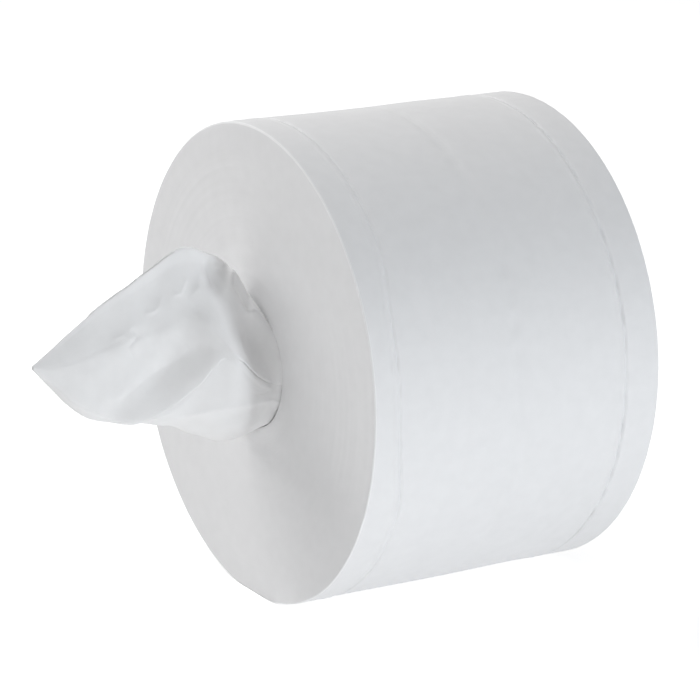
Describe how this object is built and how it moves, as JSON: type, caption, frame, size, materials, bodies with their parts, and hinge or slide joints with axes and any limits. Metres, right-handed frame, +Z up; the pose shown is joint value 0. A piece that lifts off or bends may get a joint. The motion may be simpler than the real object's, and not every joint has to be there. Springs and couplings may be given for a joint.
{
  "type": "centerfeed toilet paper roll",
  "caption": "Wide coreless roll of white two-ply toilet paper, wound round an open centre, with its inner end pulled out of the front face as a loose folded tail.",
  "frame": {"origin": "on the roll's axis, halfway between its two faces", "axes": "+Z up as the roll lies on its side; the roll's axis runs along Y, with +Y towards the back face and the pulled-out tail towards -Y; +X is to the right seen from the front"},
  "size_m": [0.2, 0.232, 0.1988],
  "materials": {
    "tissue": "matt uncoated two-ply tissue"
  },
  "bodies": {
    "root": {"paper_roll": "tissue"}
  },
  "joints": []
}
